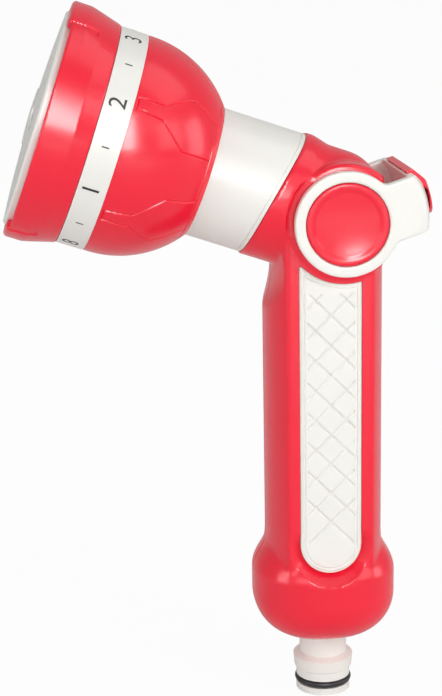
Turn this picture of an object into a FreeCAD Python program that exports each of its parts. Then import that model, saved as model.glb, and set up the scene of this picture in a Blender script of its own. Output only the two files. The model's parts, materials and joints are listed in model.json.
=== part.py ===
import FreeCAD, Part
import math
import os

os.makedirs("parts", exist_ok=True)
Vector = FreeCAD.Vector
Rotation = FreeCAD.Rotation
Placement = FreeCAD.Placement

# A garden-hose spray gun: a click-fit spigot at the foot of an upright grip, a thumb lever
# round the back of the hub, and a dial head on a neck that leans up and forward.
# Millimetres. The origin is the centre of the spigot's lower end, +Z runs up the grip,
# the head points to -X, and -Y is the left-hand side. The hub axis lies along Y.

# ---- layout
pivot_x = 4.0
pivot_z = 135.8
head_tilt = 19.35
arm_tilt = 18.0
lever_travel = 55.0

# ---- fits
running_fit = 0.05
slide_gap = 0.4
seat_gap = 0.1
touch_gap = 0.02

# ---- grip and flare
wall = 2.3
grip_half_depth = 15.95
grip_half_width = 15.5
grip_flat = 22.6
grip_edge_round = 2.5
grip_foot_z = 30.0
grip_top_drop = 2.0
scoop_radius = 30.0
scoop_depth = 2.3
scoop_bow = 60.0
scoop_drop = 12.8
flare_half_depth = 19.8
flare_half_width = 19.2
flare_round = 12.5
flare_floor_z = 17.8
flare_shoulder_z = 36.5
flare_shoulder_height = 11.0
floor_thickness = 3.0
rib_thickness = 2.0
rib_heights = (70.0, 98.0)

# ---- grip panels
panel_half_width = 8.2
panel_foot_z = 48.2
panel_thickness = 2.2
panel_proud = 0.15
panel_bevel = 4.2
bevel_margin = 0.3
groove_pitch = 5.75
groove_width = 0.8
groove_depth = 0.5
groove_margin = 2.1

# ---- hub
boss_radius = 15.3
boss_proud = 0.4
boss_round = 1.4
back_bow = 52.0
journal_radius = 7.4
lug_depth = 1.8
lug_angle = 24.0
lug_height = 1.9
lug_start = 235.0

# ---- collar and neck
collar_proud = 0.45
waist_inset = 1.15
waist_start = 2.0
waist_end = 8.0
waist_round = 12.0
collar_start = 12.5
collar_edge = 20.0
collar_edge_radius = 95.0
collar_edge_lean = 11.6
collar_gap = 0.25
neck_radius = 17.3
neck_root_inset = 2.7
neck_wall = 2.5
neck_root = 11.7
neck_step = 26.0
neck_end = 46.9
neck_line_offset = 0.9
neck_line_width = 0.35
neck_line_depth = 0.25
plate_thickness = 3.0
groove_start = 12.6
groove_length = 1.2
groove_fall = 0.7
bulkhead_start = 14.6
bulkhead_thickness = 3.0
bulkhead_socket_wall = 2.2

# ---- valve
plug_radius = 7.2
plug_half_length = 10.5
port_radius = 3.0
housing_radius = 9.5
spindle_side = 8.0
ring_section = 1.44
ring_station = 8.5
seat_radius = 4.4
seat_thickness = 1.2
outlet_radius = 5.2
outlet_end = 22.0
outlet_ring_station = 18.2
outlet_ring_section = 1.2

# ---- water tube
tube_radius = 4.5
tube_wall = 1.2
tube_seat_z = 26.2
socket_wall = 2.6
socket_depth = 7.5
tube_ring_section = 1.0
inlet_stub_length = 26.0

# ---- inlet spigot
spigot_land_radius = 7.55
spigot_bore_radius = 4.6
o_ring_station = 3.05
o_ring_section = 1.75
o_ring_proud = 0.4
land_end_z = 6.5
ridge_radius = 8.35
ridge_foot_radius = 8.05
ridge_end_z = 10.4
spigot_neck_radius = 6.6
spigot_flange_radius = 11.5
spigot_flange_thickness = 3.0

# ---- yoke
arm_thickness = 3.0
arm_upper = 6.3
arm_lower = 8.65
arm_blend = 2.5
disc_radius = 13.7
crossbar_inner = 19.5
crossbar_outer = 23.8
crossbar_bow = 60.0
yoke_corner = 3.0
cup_radius = 10.9
cup_depth = 1.6
cap_gap = 0.12
cap_sink = 0.15
cap_rim = 2.0
cap_dish = 0.75
pad_half_width = 13.3
pad_drop = 8.0
pad_rise = 0.7
pad_proud = 1.0
pad_thickness = 1.7
bevel_reach = 21.4
bevel_angle = 32.7

# ---- screws
hub_screw_radius = 1.5
hub_screw_head = 2.8
hub_screw_head_height = 1.6
hub_screw_grip = 1.8
hub_screw_sink = 0.25
hub_screw_bite = 6.0
shell_screw_radius = 1.4
shell_screw_head = 2.2
shell_screw_head_height = 1.5
shell_screw_bite = 9.0
shell_screw_x = -5.85
shell_screw_heights = (58.0, 82.0, 104.0)
screw_post_wall = 0.9

# ---- dial head
dome_radius = 29.0
dome_centre = 60.5
dome_wall = 2.2
band_start = 61.8
band_width = 7.4
band_proud = 0.05
band_thickness = 2.0
sleeve_wall = 2.2
sleeve_end = 79.2
rim_end = 82.6
rim_flare = 2.45
rim_foot_step = 0.2
rim_taper_end = 75.2
rim_swell = 2.4
rim_round = 0.6
rim_lip = 2.9
recess_depth = 0.7
recess_start = 74.4
recess_end = 81.7
recess_angle = 121.0
face_front = 83.4
face_thickness = 3.2
face_crown = 1.1
gasket_thickness = 0.8
manifold_radius = 16.0
manifold_floor = 62.0
manifold_rear = 47.3
chamber_count = 8
chamber_inner = 7.0
chamber_wall = 1.4
nozzle_margin = 3.5
nozzle_edge = 1.0
port_circle = 10.5
dial_port_radius = 2.2
seal_radius = 4.3
seal_bore = 2.6
seal_length = 3.0
port_spring_wire = 0.7
port_spring_turns = 3.0
port_spring_length = 2.6
detent_circle = 12.6
detent_ball_radius = 1.7
detent_spring_wire = 0.4
detent_spring_turns = 4.0
detent_spring_length = 3.6
dimple_depth = 0.4
dial_screw_radius = 2.5
dial_screw_head = 4.2
dial_screw_head_height = 2.8
dial_screw_bite = 10.5
dial_washer_radius = 4.7
dial_washer_thickness = 0.8
bush_wall = 1.0
web_end = 54.0
face_cap_radius = 7.4
face_cap_height = 0.5
face_cap_spigot = 3.0

# ---- worked-out sizes
grip_top_z = pivot_z - grip_top_drop
scoop_z = pivot_z - scoop_drop
boss_half_width = grip_half_width + boss_proud
arm_inner = boss_half_width + slide_gap
arm_half_span = arm_inner + arm_thickness
cup_floor = arm_half_span - cup_depth
screw_step = cup_floor - hub_screw_sink - hub_screw_head_height
spindle_end = screw_step - hub_screw_grip - running_fit
collar_radius = neck_radius + collar_proud
waist_radius = collar_radius - waist_inset
neck_root_radius = neck_radius - neck_root_inset
panel_floor = grip_half_width - panel_thickness
cavity_half_width = panel_floor - wall
hub_room_radius = housing_radius + seat_gap
housing_half_width = plug_half_length + seat_gap
bearing_inner = housing_half_width + seat_gap
journal_inner = bearing_inner + seat_gap
bore_radius = plug_radius + running_fit
line_lean = math.degrees(math.atan2(pivot_x, pivot_z - tube_seat_z))
line_length = math.hypot(pivot_x, pivot_z - tube_seat_z)
socket_radius = tube_radius + running_fit
stub_radius = socket_radius + socket_wall
band_radius = dome_radius + band_proud
rim_radius = band_radius + rim_flare
rim_foot_radius = band_radius + rim_foot_step
manifold_end = face_front - face_thickness - gasket_thickness
sleeve_radius = band_radius - band_thickness - running_fit
sleeve_bore = sleeve_radius - sleeve_wall
chamber_outer = sleeve_bore - 2 * chamber_wall
face_radius = rim_radius - rim_lip
seal_face = manifold_rear - touch_gap
turn_step = 360.0 / chamber_count
inlet_angle = 270.0 - line_lean
outlet_angle = 180.0 - head_tilt
pocket_end = seal_face - seal_length - port_spring_length

hub_place = Placement(Vector(pivot_x, 0, pivot_z), Rotation())
head_place = Placement(Vector(pivot_x, 0, pivot_z), Rotation(Vector(0, 1, 0), head_tilt - 90))
lever_place = Placement(Vector(pivot_x, 0, pivot_z), Rotation(Vector(0, 1, 0), -arm_tilt))
line_place = Placement(Vector(pivot_x, 0, pivot_z), Rotation(Vector(0, 1, 0), line_lean))


# ---- small helpers
def put(shape, place):
    placed = shape.copy()
    placed.Placement = place.multiply(shape.Placement)
    return placed


def rod(radius, start, end, x=0.0, y=0.0):
    return Part.makeCylinder(radius, end - start, Vector(x, y, start))


def pipe(inner, outer, start, end, x=0.0, y=0.0):
    return rod(outer, start, end, x, y).cut(rod(inner, start - 1, end + 1, x, y))


def rod_y(radius, start, end, x=0.0, z=0.0):
    return Part.makeCylinder(radius, end - start, Vector(x, start, z), Vector(0, 1, 0))


def block(x_range, y_range, z_range):
    size = (x_range[1] - x_range[0], y_range[1] - y_range[0], z_range[1] - z_range[0])
    return Part.makeBox(*size, Vector(x_range[0], y_range[0], z_range[0]))


def turned(outline):
    """Revolves a closed outline of (radius, height) points and arcs about Z."""
    edges = []
    for first, second in zip(outline, outline[1:] + outline[:1]):
        here = Vector(first[0], 0, first[1])
        there = Vector(second[0], 0, second[1])
        if len(first) == 3:
            middle = Vector(first[2][0], 0, first[2][1])
            edges.append(Part.Arc(here, middle, there).toShape())
        else:
            edges.append(Part.makeLine(here, there))
    face = Part.Face(Part.Wire(edges))
    return face.revolve(Vector(0, 0, 0), Vector(0, 0, 1), 360)


def bow(radius, edge_height, middle_height):
    """The half-way point of an arc that runs from a rim in to the axis, and is level there."""
    rise = middle_height - edge_height
    ball = (radius ** 2 + rise ** 2) / (2 * abs(rise))
    fall = ball - math.sqrt(ball ** 2 - (radius / 2) ** 2)
    return radius / 2, middle_height - math.copysign(fall, rise)


def o_ring(centre_radius, section, station):
    return Part.makeTorus(centre_radius, section / 2, Vector(0, 0, station))


def coil(radius, wire, start, length, turns, x=0.0, y=0.0):
    path = Part.makeHelix((length - wire) / turns, length - wire, radius)
    section = Part.Wire(Part.makeCircle(wire / 2, Vector(radius, 0, 0), Vector(0, 1, 0)))
    spring = Part.Wire(path.Edges).makePipeShell([section], True, True)
    spring.translate(Vector(x, y, start + wire / 2))
    return spring


def mirrored(shape):
    return shape.mirror(Vector(0, 0, 0), Vector(0, 1, 0))


def both_sides(shape):
    return shape.fuse(mirrored(shape))


def around(shape, count, offset=0.0):
    copies = []
    for index in range(count):
        copy = shape.copy()
        copy.rotate(Vector(0, 0, 0), Vector(0, 0, 1), offset + index * 360.0 / count)
        copies.append(copy)
    return copies


def fuse_all(shapes):
    return shapes[0].multiFuse(shapes[1:]).removeSplitter()


def solids_of(shape):
    return shape.Solids[0] if len(shape.Solids) == 1 else Part.makeCompound(shape.Solids)


def save(name, shape):
    solids_of(shape).exportStep("parts/" + name + ".step")
    print(name, len(shape.Solids), round(shape.Volume, 1), shape.isValid())


def sector_y(radius, start_angle, sweep, y_start, y_end):
    """A wedge about the Y axis, its angles counted from +X towards +Z."""
    wedge = Part.makeCylinder(radius, y_end - y_start, Vector(), Vector(0, 0, 1), sweep)
    wedge.rotate(Vector(), Vector(0, 0, 1), start_angle)
    wedge.rotate(Vector(), Vector(1, 0, 0), 90)
    wedge.translate(Vector(0, y_end, 0))
    return wedge


def ellipse_at(half_x, half_y, z):
    edge = Part.Ellipse(Vector(0, 0, z), max(half_x, half_y), min(half_x, half_y)).toShape()
    if half_y > half_x:
        edge.rotate(Vector(0, 0, z), Vector(0, 0, 1), 90)
    return Part.Wire(edge)


# ---- grip body, as one outer form that the two shells then share
def flare_inset(z):
    """How far the flare's outline has drawn in from its widest, at a height."""
    if z < flare_floor_z + flare_round:
        rise = 1 - (z - flare_floor_z) / flare_round
        return flare_round * (1 - math.sqrt(1 - rise ** 2))
    if z > flare_shoulder_z:
        share = min(1.0, (z - flare_shoulder_z) / flare_shoulder_height)
        depth = flare_half_depth - grip_half_depth + 0.3
        return depth * (1 - math.cos(math.pi * share)) / 2
    return 0.0


def flare_form(bottom, top, thinner):
    steps = 13
    wires = []
    for index in range(steps):
        share = index / (steps - 1)
        z = bottom + (top - bottom) * share ** 1.35
        shrink = flare_inset(z) + thinner
        wires.append(ellipse_at(flare_half_depth - shrink, flare_half_width - shrink, z))
    return Part.makeLoft(wires, True, False)


def grip_prism(half_depth, half_width, half_flat, bottom, top):
    """An upright block with flat cheeks, a bowed front and a bowed back."""
    low_left, low_right = Vector(-half_flat, -half_width, bottom), Vector(half_flat, -half_width, bottom)
    high_left, high_right = Vector(-half_flat, half_width, bottom), Vector(half_flat, half_width, bottom)
    section = Part.Wire([Part.makeLine(low_left, low_right),
                         Part.Arc(low_right, Vector(half_depth, 0, bottom), high_right).toShape(),
                         Part.makeLine(high_right, high_left),
                         Part.Arc(high_left, Vector(-half_depth, 0, bottom), low_left).toShape()])
    return Part.Face(section).extrude(Vector(0, 0, top - bottom))


def grip_form():
    prism = grip_prism(grip_half_depth, grip_half_width, grip_flat / 2, grip_foot_z, grip_top_z)
    uprights = [edge for edge in prism.Edges
                if abs(edge.Vertexes[0].Z - edge.Vertexes[-1].Z) > 1]
    scoop_x = scoop_depth - grip_half_depth + scoop_bow
    scoop = Part.makeTorus(scoop_bow + scoop_radius, scoop_radius, Vector(scoop_x, 0, scoop_z))
    return prism.makeFillet(grip_edge_round, uprights).cut(scoop)


def back_form():
    """Everything in front of the bowed plane that the hub's back shares with the grip's."""
    return rod(back_bow, 0, 2 * pivot_z, grip_half_depth - back_bow)


def hub_form():
    boss = rod_y(boss_radius, -boss_half_width, boss_half_width)
    rims = [edge for edge in boss.Edges if abs(edge.Length - 2 * math.pi * boss_radius) < 0.1]
    return put(boss.makeFillet(boss_round, rims), hub_place).common(back_form())


def collar_edge_form(grow):
    """Everything behind the collar's bowed front edge, in the head's own frame."""
    lean = math.radians(collar_edge_lean)
    x = -collar_edge_radius * math.sin(lean)
    z = collar_edge - collar_edge_radius * math.cos(lean)
    return rod_y(collar_edge_radius + grow, -2 * neck_radius, 2 * neck_radius, x, z)


def collar_form():
    far = collar_edge + neck_radius
    inner = waist_radius - waist_round
    part_way = waist_round * math.sqrt(0.5)
    collar = turned([(0, waist_start - waist_round),
                     (inner, waist_start - waist_round, (inner + part_way, waist_start - part_way)),
                     (waist_radius, waist_start), (waist_radius, waist_end),
                     (collar_radius, collar_start), (collar_radius, far), (0, far)])
    collar = put(collar.common(collar_edge_form(0)), head_place).common(back_form())
    sweep_room = both_sides(rod_y(boss_radius + slide_gap, boss_half_width, collar_radius + 1))
    return collar.cut(put(sweep_room, hub_place))


def panel_prism(grow, y_inner, y_outer):
    """The grip panel's outline: straight sides, a round foot, a top that follows the hub."""
    half = panel_half_width + grow
    upright = block((-half, half), (y_inner, y_outer), (panel_foot_z, pivot_z))
    foot = rod_y(half, y_inner, y_outer, 0, panel_foot_z)
    hub = rod_y(boss_radius + 2 * slide_gap - grow, y_inner - 1, y_outer + 1, pivot_x, pivot_z)
    above = block((-half - 1, half + 1), (y_inner - 1, y_outer + 1),
                  (pivot_z - boss_radius + panel_half_width / 2, pivot_z + 1))
    return upright.fuse(foot).cut(hub.fuse(above)).removeSplitter()


def foot_bevel():
    start = panel_half_width + bevel_margin
    return Part.makeCone(start, start + panel_bevel, panel_bevel,
                         Vector(0, grip_half_width, panel_foot_z), Vector(0, 1, 0))


def outer_form():
    flare = flare_form(flare_floor_z, flare_shoulder_z + flare_shoulder_height, 0)
    flare = flare.cut(both_sides(foot_bevel()))
    return fuse_all([grip_form(), flare, hub_form(), collar_form()])


def tube_line(radius, start, end):
    """A rod on the water line, start and end measured down from the hub."""
    return put(rod(radius, -end, -start), line_place)


def cavity_form():
    flare_room = flare_form(flare_floor_z + floor_thickness, flare_shoulder_z + flare_shoulder_height, wall)
    room_half_depth = grip_half_depth - wall - scoop_depth / 2
    room_half_flat = grip_flat / 2 - wall
    room_top = pivot_z - boss_radius - wall
    grip_room = grip_prism(room_half_depth, cavity_half_width, room_half_flat, flare_shoulder_z, room_top)
    throat = block((-room_half_flat, room_half_flat + wall), (-cavity_half_width, cavity_half_width),
                   (room_top - wall, pivot_z - hub_room_radius / 2))
    hub_room = put(rod_y(hub_room_radius, -boss_half_width + wall, boss_half_width - wall), hub_place)
    outlet_room = rod(outlet_radius + 4, 0, neck_root)
    neck_seat = rod(neck_root_radius + seat_gap, neck_root - seat_gap, collar_edge + neck_radius)
    lip = pipe(neck_root_radius - groove_fall + seat_gap, neck_root_radius + 2,
               groove_start + running_fit, groove_start + groove_length - running_fit)
    head_room = put(outlet_room.fuse(neck_seat.cut(lip)), head_place)
    spigot_hole = rod(spigot_neck_radius + seat_gap, 0, flare_floor_z + floor_thickness + 1)
    return fuse_all([flare_room, grip_room, throat, hub_room, head_room, spigot_hole])


def inner_ribs():
    """Cross walls that trap the spigot's flange and steady the water tube."""
    flange_top = flare_floor_z + floor_thickness + spigot_flange_thickness
    overlap = wall / 4
    ribs = [grip_prism(grip_half_depth - wall + overlap, cavity_half_width + overlap,
                       grip_flat / 2 - wall + overlap, z, z + rib_thickness) for z in rib_heights]
    flange_rib = flare_form(flange_top + seat_gap, flange_top + seat_gap + rib_thickness, wall - overlap)
    flange_rib = flange_rib.cut(rod(stub_radius + seat_gap, 0, pivot_z))
    tube = tube_line(tube_radius + seat_gap, inlet_stub_length, line_length)
    return [flange_rib] + [rib.cut(tube) for rib in ribs]


def bearing_sleeves():
    sleeve = rod_y(journal_radius + running_fit + wall, bearing_inner, boss_half_width - wall)
    return put(both_sides(sleeve), hub_place)


def lug_pocket():
    """The slot in the boss face where the yoke's stop lug travels."""
    radius = journal_radius + lug_depth + slide_gap
    pocket = sector_y(radius, lug_start - 1, lug_angle + lever_travel + 2,
                      boss_half_width - lug_height, boss_half_width + 1)
    return put(both_sides(pocket), hub_place)


def screw_posts(side):
    radius = shell_screw_radius + screw_post_wall
    far = cavity_half_width + wall / 4
    start, end = (-far, 0) if side < 0 else (0, far)
    return [rod_y(radius, start, end, shell_screw_x, z) for z in shell_screw_heights]


def screw_seat_y():
    return panel_floor - shell_screw_head_height - 0.3


def make_shells():
    body = outer_form().cut(cavity_form())
    body = fuse_all([body] + inner_ribs() + [bearing_sleeves()])
    bearing = put(rod_y(journal_radius + running_fit, -boss_half_width - 1, boss_half_width + 1), hub_place)
    recess = both_sides(panel_prism(seat_gap, panel_floor, grip_half_width + 1))
    body = body.cut(fuse_all([bearing, lug_pocket()])).cut(recess)
    far = 2 * pivot_z
    half = block((-far, far), (-far, 0), (-far, far))
    left = fuse_all([body.common(half)] + screw_posts(-1))
    right = fuse_all([body.common(mirrored(half))] + screw_posts(1))
    for z in shell_screw_heights:
        pilot = rod_y(shell_screw_radius, -shell_screw_bite, 0, shell_screw_x, z)
        hole = rod_y(shell_screw_radius + running_fit, 0, panel_floor + 1, shell_screw_x, z)
        seat = rod_y(shell_screw_head + seat_gap, screw_seat_y(), panel_floor + 1, shell_screw_x, z)
        left = left.cut(pilot)
        right = right.cut(hole).cut(seat)
    save("left_shell", left)
    save("right_shell", right)


def make_shell_screws():
    screws = []
    for z in shell_screw_heights:
        head = rod_y(shell_screw_head, screw_seat_y(), screw_seat_y() + shell_screw_head_height)
        shank = rod_y(shell_screw_radius, -shell_screw_bite, screw_seat_y())
        drive = rod_y(shell_screw_head / 2, screw_seat_y() + shell_screw_head_height / 2, panel_floor)
        screw = head.fuse(shank).cut(drive).removeSplitter()
        screw.translate(Vector(shell_screw_x, 0, z))
        screws.append(screw)
    save("shell_screws", Part.makeCompound(screws))


def make_panels():
    face_y = grip_half_width + panel_proud
    panel = panel_prism(0, panel_floor, face_y)
    half = panel_half_width - groove_margin
    top = pivot_z - boss_radius - 2 * groove_margin
    bottom = panel_foot_z - groove_margin
    field = block((-half, half), (face_y - groove_depth, face_y + 1), (bottom, top))
    grooves = []
    count = int((top - bottom + 2 * half) / groove_pitch / math.sqrt(2)) + 2
    for index in range(count):
        z = bottom - half + index * groove_pitch * math.sqrt(2)
        for lean in (45, -45):
            groove = block((-4 * half, 4 * half), (face_y - groove_depth, face_y + 1),
                           (-groove_width / 2, groove_width / 2))
            groove.rotate(Vector(), Vector(0, 1, 0), lean)
            groove.translate(Vector(0, 0, z))
            grooves.append(groove)
    panel = panel.cut(grooves[0].multiFuse(grooves[1:]).common(field))
    save("right_grip_panel", panel)
    save("left_grip_panel", mirrored(panel))


# ---- lever
def yoke_barrel(outer):
    """A barrel about the hub axis: flat cheeks, rounded corners, a bowed back."""
    corner_y = arm_half_span - yoke_corner
    corner_r = outer - crossbar_bow + math.sqrt(crossbar_bow ** 2 - corner_y ** 2)
    flat_r = corner_r - yoke_corner
    part_way = yoke_corner * math.sqrt(0.5)
    barrel = turned([(0, -arm_half_span),
                     (flat_r, -arm_half_span, (flat_r + part_way, -corner_y - part_way)),
                     (corner_r, -corner_y, (outer, 0)),
                     (corner_r, corner_y, (flat_r + part_way, corner_y + part_way)),
                     (flat_r, arm_half_span), (0, arm_half_span)])
    barrel.rotate(Vector(), Vector(1, 0, 0), 90)
    return barrel


def blend_points(edge):
    """Where a small arc leaves an arm's edge and meets the disc, on the upper side."""
    across = math.sqrt((disc_radius + arm_blend) ** 2 - (edge + arm_blend) ** 2)
    on_line = Vector(across, 0, edge)
    to_centre = Vector(across, 0, edge + arm_blend)
    on_disc = to_centre * (disc_radius / (disc_radius + arm_blend))
    middle = to_centre - (to_centre + Vector(0, 0, 1) * to_centre.Length).normalize() * arm_blend
    return on_line, middle, on_disc


def arm_outline():
    """The yoke seen from the side: the hub disc with the arm blended into it."""
    reach = crossbar_outer + 5
    top_line, top_middle, top_disc = blend_points(arm_upper)
    low_line, low_middle, low_disc = [Vector(point.x, 0, -point.z) for point in blend_points(arm_lower)]
    low_end = Vector(reach, 0, -arm_lower)
    top_end = Vector(reach, 0, arm_upper)
    wire = Part.Wire([Part.makeLine(low_line, low_end), Part.makeLine(low_end, top_end),
                      Part.makeLine(top_end, top_line),
                      Part.Arc(top_line, top_middle, top_disc).toShape(),
                      Part.Arc(top_disc, Vector(-disc_radius, 0, 0), low_disc).toShape(),
                      Part.Arc(low_disc, low_middle, low_line).toShape()])
    outline = Part.Face(wire).extrude(Vector(0, 2 * arm_half_span, 0))
    outline.translate(Vector(0, -arm_half_span, 0))
    return outline


def bevel_form(reach):
    """Everything below the sloping facet across the crossbar's upper back corner."""
    size = 4 * crossbar_outer
    slab = block((reach - size, reach), (-size, size), (-size, size))
    slab.rotate(Vector(), Vector(0, 1, 0), -bevel_angle)
    return slab


def pad_form():
    """The thumb pad: a bowed plate that laps over the crossbar's upper edge."""
    reach = crossbar_outer + 5
    top = arm_upper + pad_rise
    plate = yoke_barrel(crossbar_outer + pad_proud).common(bevel_form(bevel_reach))
    inside = rod_y(crossbar_outer + pad_proud - pad_thickness, -arm_half_span - 1, arm_half_span + 1)
    inside = inside.common(bevel_form(bevel_reach - pad_thickness))
    straight = block((0, reach), (-pad_half_width, pad_half_width), (0, top))
    foot = ellipse_at(pad_half_width, pad_drop, 0)
    foot = Part.Face(foot).extrude(Vector(0, 0, reach))
    foot.rotate(Vector(), Vector(0, 0, 1), 90)
    foot.rotate(Vector(), Vector(0, 1, 0), 90)
    outline = straight.fuse(foot.cut(block((-1, reach + 1), (-arm_half_span, arm_half_span), (0, reach))))
    lip = block((crossbar_inner, reach), (-pad_half_width, pad_half_width), (arm_upper, top))
    return plate.cut(inside).common(outline).fuse(plate.common(lip)).removeSplitter()


def make_yoke():
    yoke = yoke_barrel(crossbar_outer).common(arm_outline())
    yoke = yoke.common(bevel_form(bevel_reach - pad_proud))
    gap = rod_y(crossbar_inner, -arm_inner, arm_inner)
    journal = rod_y(journal_radius, journal_inner, arm_inner + 0.5)
    lug = sector_y(journal_radius + lug_depth, lug_start - arm_tilt, lug_angle,
                   boss_half_width - lug_height + slide_gap, arm_inner + 0.5)
    side = spindle_side / 2 + running_fit
    socket_end = spindle_end + running_fit
    socket = block((-side, side), (journal_inner - 1, socket_end), (-side, side))
    socket.rotate(Vector(), Vector(0, 1, 0), arm_tilt)
    seat = rod_y(hub_screw_head + seat_gap, screw_step, cup_floor + 1)
    hole = rod_y(hub_screw_radius + running_fit, socket_end - 1, cup_floor + 1)
    cup = rod_y(cup_radius, cup_floor, arm_half_span + 1)
    yoke = fuse_all([yoke.cut(gap), both_sides(journal), both_sides(lug)])
    for cutter in (socket, seat, hole, cup):
        yoke = yoke.cut(both_sides(cutter))
    yoke = yoke.cut(pad_form())
    save("lever_yoke", put(yoke, lever_place))
    save("thumb_pad", put(pad_form(), lever_place))


def make_hub_caps():
    radius = cup_radius - cap_gap
    face = arm_half_span - cap_sink
    dish_radius = radius - cap_rim
    edge_round = 0.35
    cap = turned([(0, cup_floor), (radius, cup_floor), (radius, face - edge_round),
                  (radius - edge_round, face), (dish_radius, face, bow(dish_radius, face, face - cap_dish)),
                  (0, face - cap_dish)])
    cap.rotate(Vector(), Vector(1, 0, 0), -90)
    save("right_hub_cap", put(cap, hub_place))
    save("left_hub_cap", put(mirrored(cap), hub_place))


def make_hub_screws():
    seat = screw_step
    head = rod_y(hub_screw_head, seat, seat + hub_screw_head_height)
    shank = rod_y(hub_screw_radius, spindle_end - hub_screw_bite, seat)
    arm = hub_screw_head * 0.65
    slot = block((-arm, arm), (seat + hub_screw_head_height / 2, seat + 9), (-0.35, 0.35))
    cross = slot.copy()
    cross.rotate(Vector(), Vector(0, 1, 0), 90)
    screw = head.fuse(shank).cut(slot.fuse(cross)).removeSplitter()
    pair = Part.makeCompound([screw, mirrored(screw)])
    save("hub_screws", put(pair, lever_place))


def spoke(radius, length, angle):
    """A rod from the hub axis outwards, its angle counted from +X towards +Z."""
    direction = Vector(math.cos(math.radians(angle)), 0, math.sin(math.radians(angle)))
    return Part.makeCylinder(radius, length, Vector(), direction)


def make_plug():
    plug = rod_y(plug_radius, -plug_half_length, plug_half_length)
    side = spindle_side / 2
    spindle = block((-side, side), (-spindle_end, spindle_end), (-side, side))
    plug = plug.fuse(spindle)
    groove_floor = plug_radius - ring_section
    for sign in (-1, 1):
        middle = sign * ring_station
        band = rod_y(plug_radius + 1, middle - ring_section * 0.62, middle + ring_section * 0.62)
        plug = plug.cut(band.cut(rod_y(groove_floor, middle - 2, middle + 2)))
    for angle in (inlet_angle, outlet_angle):
        plug = plug.cut(spoke(port_radius, plug_radius + 1, angle - lever_travel))
    pilot = rod_y(hub_screw_radius, spindle_end - hub_screw_bite, spindle_end + 1)
    plug = plug.cut(both_sides(pilot)).removeSplitter()
    save("valve_plug", put(plug, hub_place))
    rings = []
    for sign in (-1, 1):
        section = ring_section - 2 * running_fit
        ring = o_ring(plug_radius - running_fit - section / 2, section, 0)
        ring.rotate(Vector(), Vector(1, 0, 0), 90)
        ring.translate(Vector(pivot_x, sign * ring_station, pivot_z))
        rings.append(ring)
    save("plug_o_rings", Part.makeCompound(rings))


# ---- valve body and water way
def make_valve_body():
    housing = rod_y(housing_radius, -housing_half_width, housing_half_width)
    bore = rod_y(bore_radius, -housing_half_width - 1, housing_half_width + 1)
    stub = put(rod(stub_radius, -inlet_stub_length, 0), Placement(Vector(), line_place.Rotation))
    snout = put(rod(outlet_radius, 0, outlet_end), Placement(Vector(), head_place.Rotation))
    body = fuse_all([housing, stub, snout]).cut(bore)
    for angle in (inlet_angle, outlet_angle):
        body = body.cut(spoke(port_radius, outlet_end + inlet_stub_length, angle))
        body = body.cut(spoke(seat_radius, bore_radius + seat_thickness, angle))
    socket_start = inlet_stub_length - socket_depth
    socket = rod(socket_radius, -inlet_stub_length - 1, -socket_start)
    ring_middle = -(inlet_stub_length - socket_depth / 2)
    ring_room = rod(socket_radius + tube_ring_section, ring_middle - 0.6, ring_middle + 0.6)
    body = body.cut(put(socket.fuse(ring_room), Placement(Vector(), line_place.Rotation)))
    groove = pipe(outlet_radius - outlet_ring_section, outlet_radius + 1,
                  outlet_ring_station - 0.75, outlet_ring_station + 0.75)
    body = body.cut(put(groove, Placement(Vector(), head_place.Rotation)))
    save("valve_body", put(body, hub_place))


def make_valve_seats():
    seats = []
    for angle in (inlet_angle, outlet_angle):
        seat = spoke(seat_radius, bore_radius + seat_thickness, angle)
        seat = seat.cut(spoke(port_radius, bore_radius * 2, angle))
        seat = seat.cut(rod_y(bore_radius, -housing_half_width, housing_half_width))
        seats.append(put(seat, hub_place))
    save("valve_seats", Part.makeCompound(seats))


def make_tube():
    top = inlet_stub_length - socket_depth + 1
    bottom = line_length
    tube = tube_line(tube_radius, top, bottom).cut(tube_line(tube_radius - tube_wall, top - 1, bottom + 1))
    save("handle_tube", tube)
    rings = []
    for distance in (inlet_stub_length - socket_depth / 2, line_length - socket_depth / 2):
        section = tube_ring_section - running_fit
        ring = o_ring(tube_radius + running_fit + section / 2, section, -distance)
        rings.append(put(ring, line_place))
    save("tube_seals", Part.makeCompound(rings))


def make_inlet():
    flange_foot = flare_floor_z + floor_thickness
    flange_top = flange_foot + spigot_flange_thickness
    socket_top = tube_seat_z + socket_depth + 0.5
    half_groove = o_ring_section * 0.62
    groove_floor = spigot_land_radius + o_ring_proud - o_ring_section
    spigot = turned([(0, 0), (spigot_land_radius, 0),
                     (spigot_land_radius, o_ring_station - half_groove),
                     (groove_floor, o_ring_station - half_groove),
                     (groove_floor, o_ring_station + half_groove),
                     (spigot_land_radius, o_ring_station + half_groove),
                     (spigot_land_radius, land_end_z), (ridge_foot_radius, land_end_z + 0.4),
                     (ridge_radius, ridge_end_z - 0.3), (ridge_radius - 0.4, ridge_end_z),
                     (spigot_neck_radius, ridge_end_z + 0.8), (spigot_neck_radius, flange_foot),
                     (spigot_flange_radius, flange_foot), (spigot_flange_radius, flange_top),
                     (stub_radius, flange_top), (stub_radius, socket_top), (0, socket_top)])
    spigot = spigot.cut(rod(spigot_bore_radius, -1, flange_foot))
    way = tube_line(tube_radius - tube_wall, 0, line_length + tube_seat_z - flange_foot + 1)
    socket = tube_line(socket_radius, 0, line_length + running_fit)
    ring_middle = line_length - socket_depth / 2
    ring_room = tube_line(socket_radius + tube_ring_section, ring_middle - 0.6, ring_middle + 0.6)
    save("inlet_connector", spigot.cut(way).cut(socket).cut(ring_room))
    ring = o_ring(groove_floor + o_ring_section / 2, o_ring_section, o_ring_station)
    save("inlet_o_ring", ring)


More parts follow.
